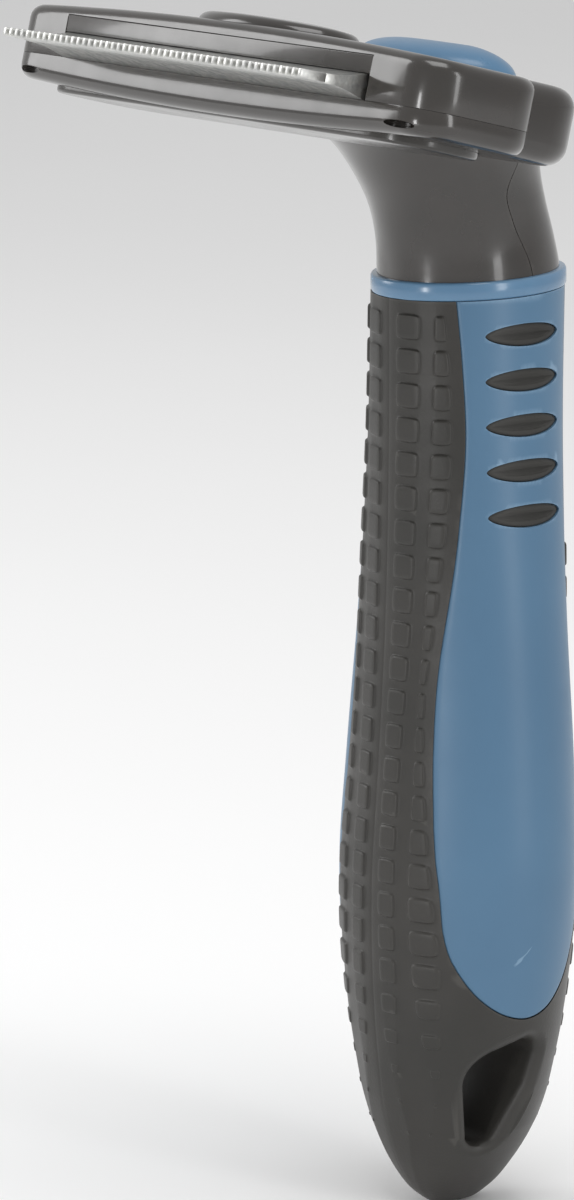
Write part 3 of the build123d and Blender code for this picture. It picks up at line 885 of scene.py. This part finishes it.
    def grip(self) -> bpy.types.Object:
        """Build the rubber grip."""
        outline = self.panel_outline(self.seam)
        reach = 30.0
        upper = [(outline[-1][0], self.top + 9.0), (outline[0][0], self.top + 9.0)]
        tools = [self._core()]
        for side in (-1, 1):
            ends = sorted((side * 3.0, side * reach))
            tools.append(Form().slab(outline + upper, *ends).tidy(0.001))
        tools.append(self._hole(0.0, flare=True))
        form = self._outer().act(tools, Cut.REMOVE)
        return Piece("rubber_grip", GRIP_RUBBER, ("grip_overmould",)).make(form, self.base())

    def panel(self, side: int, name: str) -> bpy.types.Object:
        """Build one blue side panel with its rolled edge and lens windows."""
        path = self._even_path()
        depths = (0.0, 0.05, 0.14, 0.28, 0.5)
        drops = (0.36, 0.2, 0.08, 0.02, 0.0)
        inner_steps = 14
        form = Form()
        rows = len(depths) + inner_steps
        made = bmesh.ops.create_grid(form.bm, x_segments=len(path) - 1, y_segments=rows - 1, size=1.0)
        for vertex in made["verts"]:
            column = round((vertex.co.x + 1) / 2 * (len(path) - 1))
            row = round((vertex.co.y + 1) / 2 * (rows - 1))
            edge, spine = path[column]
            span = (spine - edge).length
            if row < len(depths):
                share, drop = depths[row] / span, drops[row]
            else:
                start = depths[-1] / span
                share, drop = start + (1 - start) * (row - len(depths) + 1) / inner_steps, 0.0
            spot = edge.lerp(spine, share)
            height = min(spot.y, self.collar_level(spot.x) - 0.02)
            vertex.co = self.place(spot.x, height, side, drop)
        form.tidy(0.01)
        raised = bmesh.ops.extrude_face_region(form.bm, geom=form.bm.faces[:])
        inner = [item for item in raised["geom"] if isinstance(item, bmesh.types.BMVert)]
        bmesh.ops.translate(form.bm, vec=(-side * 1.3, 0, 0), verts=inner)
        form.tidy(0.001)
        form.act([self._lens(index, 0.0, side) for index in range(self.lens_count)], Cut.REMOVE)
        piece = Piece(f"blue_panel_{name}", PANEL_BLUE, (f"side_panel_{name}",))
        return piece.make(form, self.base())

    def _even_path(self) -> list[tuple[Vector, Vector]]:
        """Panel outline with even rows on both sides.

        Returns:
            For each point of the outline, the point and its mate on the panel's spine.
        """
        path = self.panel_outline(0.0)

        def sides(height: float) -> list[float]:
            """Depths at which the outline crosses a height."""
            return [
                y_low + (y_high - y_low) * (height - h_low) / (h_high - h_low)
                for (y_low, h_low), (y_high, h_high) in zip(path, path[1:])
                if h_low != h_high and min(h_low, h_high) <= height < max(h_low, h_high)
            ]

        top = self.top + 0.9
        count = round((top - self.panel_focus) / self.panel_step)
        front, back = [], []
        for step in range(count + 1):
            height = top - (top - self.panel_focus) * step / count
            crossings = sides(height)
            spine = Vector(((min(crossings) + max(crossings)) / 2, height))
            front.append((Vector((min(crossings), height)), spine))
            back.append((Vector((max(crossings), height)), spine))
        focus = front[-1][1]
        bottom = [(Vector(point), focus) for point in path if point[1] < self.panel_focus - 0.2]
        return [*front, *bottom, *reversed(back)]

    def _lens_outline(self, index: int, inset: float) -> list[tuple[float, float]]:
        """Outline of one lens window as Y and height."""
        middle = self.lens_top - index * self.lens_pitch
        length, tall = self.lens_half[0] - inset, self.lens_half[1] - inset
        outline = []
        for step in range(64):
            turn = 2 * pi * step / 64
            outline.append((
                self.lens_y + length * cos(turn),
                middle + tall * sin(turn) * abs(sin(turn)) ** 0.15,
            ))
        return outline

    def _lens(self, index: int, inset: float, side: int) -> Form:
        """Tool for one lens window."""
        ends = sorted((side * 3.0, side * 30.0))
        return Form().slab(self._lens_outline(index, inset), *ends).tidy(0.001)

    def lenses(self, side: int, name: str) -> bpy.types.Object:
        """Build one side's rubber lenses, each softly domed in its window."""
        form = Form()
        for index in range(self.lens_count):
            loops = []
            for inset, sink in self.lens_profile:
                outline = self._lens_outline(index, inset)
                loops.append([self.place(y, height, side, sink) for y, height in outline])
            form.stack(loops)
        form.tidy(0.002)
        piece = Piece(f"rubber_lenses_{name}", INSERT_RUBBER, (f"panel_inserts_{name}",))
        return piece.make(form, self.base())

    def collar(self) -> bpy.types.Object:
        """Build the glossy ring between the handle and the neck."""
        width, depth = self.half(self.top + 4.0)
        plan = OvalPlan(width + self.collar_proud, depth + self.collar_proud, self.collar_shift, 128)
        tall = self.collar_height
        profile = [(2.2, 0.0), (0.35, 0.0), (0.12, 0.05), (0.0, 0.28), (-0.03, tall / 2), (0.0, tall - 0.28),
                   (0.12, tall - 0.06), (0.32, tall), (3.0, tall), (3.0, tall - 0.3), (2.2, tall - 0.3)]
        form = Form()
        first = ring = form.ring(plan.loop(profile[0][0], at(profile[0][1])))
        for inset, level in profile[1:]:
            ring = form.grow(ring, plan.loop(inset, at(level)))
        form.grow(ring, [vertex.co.copy() for vertex in first])
        form.tidy(0.001)
        tilt = Matrix.Translation((0, 0, self.top)) @ Matrix.Rotation(radians(self.collar_slope), 4, "X")
        piece = Piece("collar_band", COLLAR_BLUE, ("collar_ring",), crease=50.0)
        return piece.make(form, self.base() @ tilt)

    def build(self) -> list[bpy.types.Object]:
        """Build all of the handle's visible pieces."""
        made = [self.grip(), self.collar()]
        for side, name in ((1, "right"), (-1, "left")):
            made += [self.panel(side, name), self.lenses(side, name)]
        return made


# ---- Neck --------------------------------------------------------------------------------


@dataclass
class Neck:
    """Flared neck with its back cover and screw plug."""

    handle: Handle
    head: Matrix
    sections: tuple[Station, ...] = (
        (114.0, 0.2, 10.4, 11.9), (118.0, 0.0, 10.3, 11.7), (122.0, -0.7, 10.2, 11.3),
        (126.0, -2.0, 10.5, 11.1), (129.4, -3.5, 11.1, 11.5), (132.5, -5.0, 12.2, 12.2),
        (136.0, -7.2, 14.2, 13.4), (141.0, -9.6, 17.5, 15.5),
    )
    cover_edge: tuple[Station, ...] = (
        (2.2, 116.0), (1.4, 119.0), (-1.6, 124.5), (-3.0, 128.0), (-2.0, 132.0),
    )
    cover_far: float = 30.0
    seam: float = 0.1
    lobe_bottom: float = 0.4
    plug_height: float = 128.2
    plug_half: tuple[float, float] = (4.4, 3.6)

    def _blank(self) -> Form:
        """Skin of the whole neck, trimmed by the collar and the head."""
        loops = []
        for step in range(55):
            height = 114.0 + step * 0.5
            centre, width, depth = along(self.sections, height)
            loops.append([
                Vector((width * cos(2 * pi * index / 96), centre + depth * sin(2 * pi * index / 96), height))
                for index in range(96)
            ])
        form = Form().stack(loops).tidy()
        slope = radians(self.handle.collar_slope)
        floor = self.handle.top + self.handle.collar_height * 0.9
        self._trim(form, Vector((0, 0, floor)), Vector((0, sin(slope), -cos(slope))))
        up = self.head.to_3x3() @ Vector((0, 0, 1))
        top = self.head @ Vector((0, 0, self.lobe_bottom)) - Vector((0, 0, self.handle.butt))
        self._trim(form, top, up)
        return form

    @staticmethod
    def _trim(form: Form, place: Vector, normal: Vector) -> None:
        """Cut away what lies beyond a plane and close the cut."""
        whole = form.bm.verts[:] + form.bm.edges[:] + form.bm.faces[:]
        made = bmesh.ops.bisect_plane(
            form.bm, geom=whole, dist=1e-4, plane_co=place, plane_no=normal, clear_outer=True
        )
        rim = [item for item in made["geom_cut"] if isinstance(item, bmesh.types.BMEdge)]
        bmesh.ops.holes_fill(form.bm, edges=rim, sides=0)
        bmesh.ops.recalc_face_normals(form.bm, faces=form.bm.faces[:])

    def _behind(self, gap: float) -> Form:
        """Tool for everything behind the cover's edge, moved back by gap."""
        path = [(y + gap, height) for y, height in smooth_path(self.cover_edge, 10)]
        outline = [*path, (self.cover_far, path[-1][1]), (self.cover_far, path[0][1])]
        return Form().slab(outline, -30.0, 30.0).tidy(0.001)

    def _plug_tool(self, inset: float) -> Form:
        """Tool for the oval screw plug, along Y."""
        plan = OvalPlan(self.plug_half[0] - inset, self.plug_half[1] - inset, self.plug_height)
        loops = [
            [Vector((p.x, y, p.y)) for p in plan.loop(0.0, at(0.0))] for y in (5.8, 30.0)
        ]
        return Form().stack(loops).tidy()

    def build(self) -> list[bpy.types.Object]:
        """Build the neck, its back cover and the plug."""
        blank = self._blank()
        cover = blank.copy().act([self._behind(self.seam / 2)], Cut.KEEP_COMMON)
        cover.act([self._plug_tool(-0.07)], Cut.REMOVE)
        plug = blank.copy().act([self._plug_tool(0.03)], Cut.KEEP_COMMON)
        body = blank.act([self._behind(-self.seam / 2)], Cut.REMOVE)
        base = self.handle.base()
        return [
            Piece("neck", SHELL_PLASTIC, ("neck_body",), crease=40.0).make(body, base),
            Piece("neck_cover", SHELL_PLASTIC, ("neck_back_cover",), crease=40.0).make(cover, base),
            Piece("screw_plug", SHELL_PLASTIC, ("neck_screw_plug",), crease=40.0).make(plug, base),
        ]


# ---- Head --------------------------------------------------------------------------------


@dataclass
class Head:
    """Bar shells, cover plate, back shell with ears, blade and ejector."""

    slope: float = 13.0
    blade_tail: float = 9.0
    blade_half: float = 1.5
    bar_half: float = 41.0
    bar_depth: float = 17.7
    bar_corner: float = 5.0
    bar_middle: float = 5.5
    bar_end: float = 4.4
    bar_round: float = 1.6
    parting: float = -1.5
    mouth_half: float = 29.8
    mouth_top: float = 3.75
    pusher_gap: float = 0.06
    seat: RoundedPlan = RoundedPlan(35.65, 1.45, 16.35, 6.0)
    seat_top: float = -4.2
    plate: RoundedPlan = RoundedPlan(35.5, 1.6, 16.2, 5.9)
    plate_bottom: float = -5.7
    slit_place: Station = (36.2, 0.2, -3.55)
    slit_half: Station = (2.5, 1.3, 0.42)
    hump: OvalPlan = OvalPlan(12.6, 8.1, 9.1)
    hump_top: float = 6.95
    ear_half: float = 36.0
    ear_back: float = 28.8
    ear_corner: float = 6.0
    ear_bottom: float = -4.5
    ear_top: float = 4.7
    lobe: OvalPlan = OvalPlan(15.6, 19.2, 28.8, 96)
    lobe_bottom: float = 0.4
    button: OvalPlan = OvalPlan(12.6, 7.4, 33.4)
    button_base: float = 5.0
    button_top: float = 8.8
    blade_length: float = 29.3
    blade_reach: float = 9.35
    tooth_count: int = 51
    tooth_share: float = 0.56
    tooth_depth: float = 3.6
    tip_half: float = 0.5
    root_half: float = 0.55
    # V and half thickness of the blade's hollow-ground front, behind the tooth roots.
    hollow: tuple[Station, ...] = ((-4.2, 0.62), (-2.6, 0.84), (-1.2, 1.16))

    def place(self) -> Matrix:
        """Matrix of the head's frame: X, V back from the blade's root, W up from its middle."""
        lean = radians(self.slope)
        low, high = (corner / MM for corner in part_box("blade"))
        root_y = high.y - self.blade_tail * cos(lean) - self.blade_half * sin(lean)
        root_z = low.z + self.blade_tail * sin(lean) + self.blade_half * cos(lean)
        return Matrix.Translation((0, root_y, root_z)) @ Matrix.Rotation(-lean, 4, "X")

    def crown(self, sign: float) -> Callable[[float, float], float]:
        """Height rule of the bar's crowned top or bottom."""
        drop = self.bar_middle - self.bar_end
        return lambda x, v: sign * (self.bar_middle - drop * (x / self.bar_half) ** 2)

    def _bar_shell(self, sign: float) -> Form:
        """Half of the bar, from the parting to its crowned face."""
        plan = RoundedPlan(self.bar_half, 0.0, self.bar_depth, self.bar_corner)
        crown = self.crown(sign)
        start = self.parting + sign * 0.005
        edge = ((4.0, 0.0), (0.07, 0.0), (0.02, 0.02), (0.0, 0.08))
        loops = [plan.loop(inset, at(start + sign * rise)) for inset, rise in edge]
        for inset, level in fillet(self.bar_round, 0.0, sign):
            loops.append(plan.loop(inset, lambda x, v, level=level: crown(x, v) + level))
        half = self.bar_depth / 2
        for inset in (2.0, 4.0, 6.0, half - 0.4):
            rise = sign * 0.12 * (inset - self.bar_round) / half
            loops.append(plan.loop(inset, lambda x, v, rise=rise: crown(x, v) + rise))
        return Form().stack(loops).tidy(0.002)

    def upper_shell(self) -> Form:
        """Top half of the bar with its oval boss, mouth and slideway."""
        form = self._bar_shell(1.0)
        boss = self.hump
        loops = [boss.loop(0.0, at(3.9)), boss.loop(0.0, at(5.15))]
        for inset, level in fillet(1.5, 6.62, 1.0, 6):
            loops.append(boss.loop(0.25 + inset, at(level)))
        for inset, level in ((3.2, 6.78), (5.2, 6.9), (7.6, self.hump_top)):
            loops.append(boss.loop(inset, at(level)))
        form.act([Form().stack(loops).tidy(0.002)], Cut.JOIN)
        low = (-self.mouth_half, -20.0, self.parting - 1.0)
        high = (self.mouth_half, self.blade_tail, self.mouth_top)
        return form.act([Form().block(low, high), *self._slideway()], Cut.REMOVE)

    def _slideway(self) -> list[Form]:
        """Tools for the ejector's room inside the head."""
        return [
            Form().block((-6.4, 8.5, 1.5), (6.4, 38.6, 4.1)),
            Form().block((-16.0, 11.5, 1.5), (16.0, 27.6, 4.1)),
        ]

    def lower_shell(self) -> Form:
        """Bottom half of the bar with the seat of the cover plate."""
        form = self._bar_shell(-1.0)
        levels = (self.seat_top - 4.8, self.seat_top)
        tool = Form().stack([self.seat.loop(0.0, at(level)) for level in levels]).tidy()
        slits = []
        for side in (-1, 1):
            slit = Form()
            x, v, w = self.slit_place
            bmesh.ops.create_uvsphere(
                slit.bm, u_segments=24, v_segments=12, radius=1.0,
                matrix=Matrix.Translation((side * x, v, w)) @ Matrix.Diagonal((*self.slit_half, 1.0)),
            )
            slits.append(slit)
        return form.act([tool, *slits], Cut.REMOVE)

    def cover_plate(self) -> Form:
        """Thin plate under the bar."""
        plan, top = self.plate, self.seat_top - 0.02
        loops = [plan.loop(3.0, at(top)), plan.loop(0.0, at(top))]
        loops += [plan.loop(inset, at(level)) for inset, level in fillet(0.45, self.plate_bottom, -1.0, 4)]
        loops.append(plan.loop(6.9, at(self.plate_bottom)))
        return Form().stack(loops).tidy(0.002)

    def back_shell(self) -> Form:
        """Ears and lobe behind the bar, around the ejector's slide."""
        ears = RoundedPlan(self.ear_half, 12.0, self.ear_back, self.ear_corner)
        middle = (self.ear_top + self.ear_bottom) / 2
        rounds = fillet(2.5, self.ear_top, 1.0, 7)
        under = [(inset, self.ear_bottom + self.ear_top - level) for inset, level in rounds]
        loops = [ears.loop(7.9, at(self.ear_bottom))]
        loops += [ears.loop(inset, at(level)) for inset, level in reversed(under)]
        loops.append(ears.loop(0.0, at(middle)))
        loops += [ears.loop(inset, at(level)) for inset, level in rounds]
        loops.append(ears.loop(7.9, at(self.ear_top + 0.05)))
        form = Form().stack(loops).tidy(0.002)
        top = fillet(1.5, self.ear_top - 0.02, 1.0, 6)
        bottom = [(inset, self.lobe_bottom + self.ear_top - level) for inset, level in top]
        loops = [self.lobe.loop(8.0, at(self.lobe_bottom))]
        loops += [self.lobe.loop(inset, at(level)) for inset, level in reversed(bottom)]
        loops += [self.lobe.loop(inset, at(level)) for inset, level in top]
        loops.append(self.lobe.loop(8.0, at(self.ear_top)))
        form.act([Form().stack(loops).tidy(0.002)], Cut.JOIN)
        stem = Form().block((-4.6, 22.6, 3.0), (4.6, 36.2, 20.0))
        return form.act([*self._slideway(), stem], Cut.REMOVE)

    def thumb_button(self) -> Form:
        """Domed oval button on its stem."""
        plan = self.button
        rise = self.button_top - 5.75
        loops = [plan.loop(3.5, at(self.button_base)), plan.loop(0.3, at(self.button_base)),
                 plan.loop(0.05, at(self.button_base + 0.12)), plan.loop(0.0, at(5.45))]
        for step in range(15):
            turn = pi / 2 * step / 14
            loops.append(plan.loop(plan.half_v * (1 - cos(turn)) * 0.995, at(5.75 + rise * sin(turn))))
        form = Form().stack(loops).tidy(0.002)
        form.block((-4.2, 31.0, 3.5), (4.2, 35.8, 5.2))
        return form

    def blade(self) -> Form:
        """Hollow-ground blade with its row of teeth."""
        form = Form()
        root = -self.blade_reach + self.tooth_depth
        profile = [(root, self.root_half + 0.01), *self.hollow]
        profile += [(0.0, self.blade_half), (self.blade_tail, self.blade_half)]
        outline = profile + [(v, -half) for v, half in reversed(profile)]
        loops = []
        for x in [-self.blade_length + 2 * self.blade_length * step / 24 for step in range(25)]:
            loops.append([Vector((x, v, w)) for v, w in outline])
        form.stack(loops)
        bmesh.ops.recalc_face_normals(form.bm, faces=form.bm.faces[:])
        form.bevel_edges(60.0, 0.07, 2)
        pitch = 2 * self.blade_length / (self.tooth_count - 1 + self.tooth_share)
        width = pitch * self.tooth_share
        for index in range(self.tooth_count):
            x = -self.blade_length + width / 2 + index * pitch
            tooth = Form().block((x - width / 2, -self.blade_reach, -1.0), (x + width / 2, root + 0.15, 1.0))
            for vertex in tooth.bm.verts:
                half = self.tip_half if vertex.co.y < root else self.root_half
                vertex.co.z = half * (1 if vertex.co.z > 0 else -1)
            tooth.bevel_edges(60.0, 0.13, 2)
            mesh = bpy.data.meshes.new("tooth")
            tooth.bm.to_mesh(mesh)
            form.bm.from_mesh(mesh)
            bpy.data.meshes.remove(mesh)
        return form

    def ejector(self) -> Form:
        """Pusher bar over the blade."""
        half = self.mouth_half - self.pusher_gap
        low = (-half, 0.02, self.blade_half + 0.08)
        form = Form().block(low, (half, 5.3, self.mouth_top - self.pusher_gap))
        return form.bevel_edges(60.0, 0.1, 3)

    def build(self) -> list[bpy.types.Object]:
        """Build all of the head's visible pieces."""
        place = self.place()
        pieces = (
            (Piece("bar_top", SHELL_PLASTIC, ("head_upper_shell",)), self.upper_shell),
            (Piece("bar_bottom", SHELL_PLASTIC, ("head_lower_shell",)), self.lower_shell),
            (Piece("bar_plate", COVER_PLASTIC, ("head_lower_cover",)), self.cover_plate),
            (Piece("back_shell", SHELL_PLASTIC, ("head_back_shell",)), self.back_shell),
            (Piece("toothed_blade", BLADE_STEEL, ("blade",)), self.blade),
            (Piece("ejector_pusher", EJECTOR_PLASTIC, ("ejector_bar",), "ejector"), self.ejector),
            (Piece("thumb_button", BUTTON_BLUE, ("eject_button",), "ejector"), self.thumb_button),
        )
        return [piece.make(shape(), place) for piece, shape in pieces]


# ---- Hidden pieces -----------------------------------------------------------------------


@dataclass(frozen=True)
class InnerParts:
    """CAD nodes that keep their own shape and only get a finish."""

    finishes: tuple[tuple[str, Finish], ...] = (
        ("handle_core", CORE_PLASTIC), ("ejector_slide", EJECTOR_PLASTIC), ("tang_screws", SCREW_STEEL),
        ("neck_screw", SCREW_STEEL), ("head_screws", SCREW_STEEL), ("blade_screws", SCREW_STEEL),
        ("shell_screws", SCREW_STEEL), ("spring_pins", SCREW_STEEL), ("ejector_springs", SPRING_STEEL),
    )

    def dress(self) -> None:
        """Give every carried-over node its finish."""
        for node, finish in self.finishes:
            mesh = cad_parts[node].data
            mesh.materials.clear()
            mesh.materials.append(finish.material())
            LOG.info("%s: keeps its shape, wears %s", node, finish.slot)


# ---- Studio ------------------------------------------------------------------------------


@dataclass(frozen=True)
class Softbox:
    """One soft light: where it stands round the object, how big and how strong it is."""

    name: str
    azimuth: float
    elevation: float
    distance: float
    size: tuple[float, float]
    power: float

    def build(self, aim: Vector) -> None:
        """Hang the light, facing the aim."""
        data = bpy.data.lights.new(self.name, "AREA")
        data.shape = "RECTANGLE"
        data.size, data.size_y = self.size
        data.energy = self.power
        made = bpy.data.objects.new(self.name, data)
        turn, rise = radians(self.azimuth), radians(self.elevation)
        away = Vector((sin(turn) * cos(rise), -cos(turn) * cos(rise), sin(rise)))
        made.location = aim + away * self.distance
        made.rotation_euler = away.to_track_quat("Z", "Y").to_euler()
        bpy.context.scene.collection.objects.link(made)


@dataclass(frozen=True)
class Studio:
    """Pale floor, soft lights and camera."""

    azimuth: float = 52.5
    elevation: float = 10.862
    roll: float = 0.646
    distance: float = 0.7150
    lens: float = 174.0
    shift: tuple[float, float] = (0.0216, -0.0014)
    aim_height: float = 0.075
    ambient: float = 0.6
    boxes: tuple[Softbox, ...] = (
        Softbox("left_box", -55.0, 25.0, 0.9, (0.3, 0.6), 2.2),
        Softbox("front_strip", 12.0, 2.0, 0.8, (0.09, 0.3), 1.1),
        Softbox("right_box", 100.0, 12.0, 0.8, (0.14, 0.6), 1.3),
        Softbox("top_box", 60.0, 75.0, 1.0, (0.6, 0.6), 4.0),
    )

    def aim(self) -> Vector:
        """Middle of the view, on the handle's axis."""
        return Vector((0.0, 0.0, CAD_BOX[0].z + self.aim_height))

    def camera(self) -> None:
        """Place the camera."""
        turn, rise, roll = radians(self.azimuth), radians(self.elevation), radians(self.roll)
        back = Vector((sin(turn) * cos(rise), -cos(turn) * cos(rise), sin(rise)))
        level_right = Vector((cos(turn), sin(turn), 0.0))
        level_up = back.cross(level_right)
        right = level_right * cos(roll) + level_up * sin(roll)
        up = level_up * cos(roll) - level_right * sin(roll)
        data = bpy.data.cameras.new("camera")
        data.lens = self.lens
        data.sensor_width = 36.0
        data.clip_start, data.clip_end = 0.01, 50.0
        made = bpy.data.objects.new("camera", data)
        spot = self.aim() + back * self.distance - right * self.shift[0] - up * self.shift[1]
        turned = Matrix((right, up, back)).transposed().to_4x4()
        made.matrix_world = Matrix.Translation(spot) @ turned
        bpy.context.scene.collection.objects.link(made)
        bpy.context.scene.camera = made

    def floor(self, level: float) -> None:
        """Lay a pale floor just under the object."""
        form = Form()
        bmesh.ops.create_grid(form.bm, x_segments=4, y_segments=4, size=6.0)
        bmesh.ops.translate(form.bm, vec=(0, 0, level), verts=form.bm.verts[:])
        mesh = bpy.data.meshes.new("floor")
        form.bm.to_mesh(mesh)
        form.bm.free()
        mesh.materials.append(
            Finish("floor", (250, 250, 250), (248, 248, 248), (250, 250, 250), (0.85, 0.95),
                   specular=0.1, grain_size=2.0, grain_depth=0.01, cloud_size=300.0).material()
        )
        made = bpy.data.objects.new("floor", mesh)
        bpy.context.scene.collection.objects.link(made)

    def build(self) -> None:
        """Set the whole studio."""
        scene = bpy.context.scene
        scene.view_settings.view_transform = "Standard"
        world = bpy.data.worlds.new("studio")
        scene.world = world
        world.use_nodes = True
        glow = world.node_tree.nodes["Background"]
        glow.inputs["Color"].default_value = (1.0, 1.0, 1.0, 1.0)
        glow.inputs["Strength"].default_value = self.ambient
        self.floor(CAD_BOX[0].z - 0.0002)
        for box in self.boxes:
            box.build(self.aim())
        self.camera()


def main() -> None:
    """Build the studio and every piece in order."""
    logging.basicConfig(level=logging.INFO, format="%(name)s %(message)s")
    Studio().build()
    handle = Handle()
    head = Head()
    made = [*handle.build(), *Neck(handle, head.place()).build(), *head.build()]
    InnerParts().dress()
    LOG.info("%d new pieces", len(made))


if __name__ == "__main__":
    main()
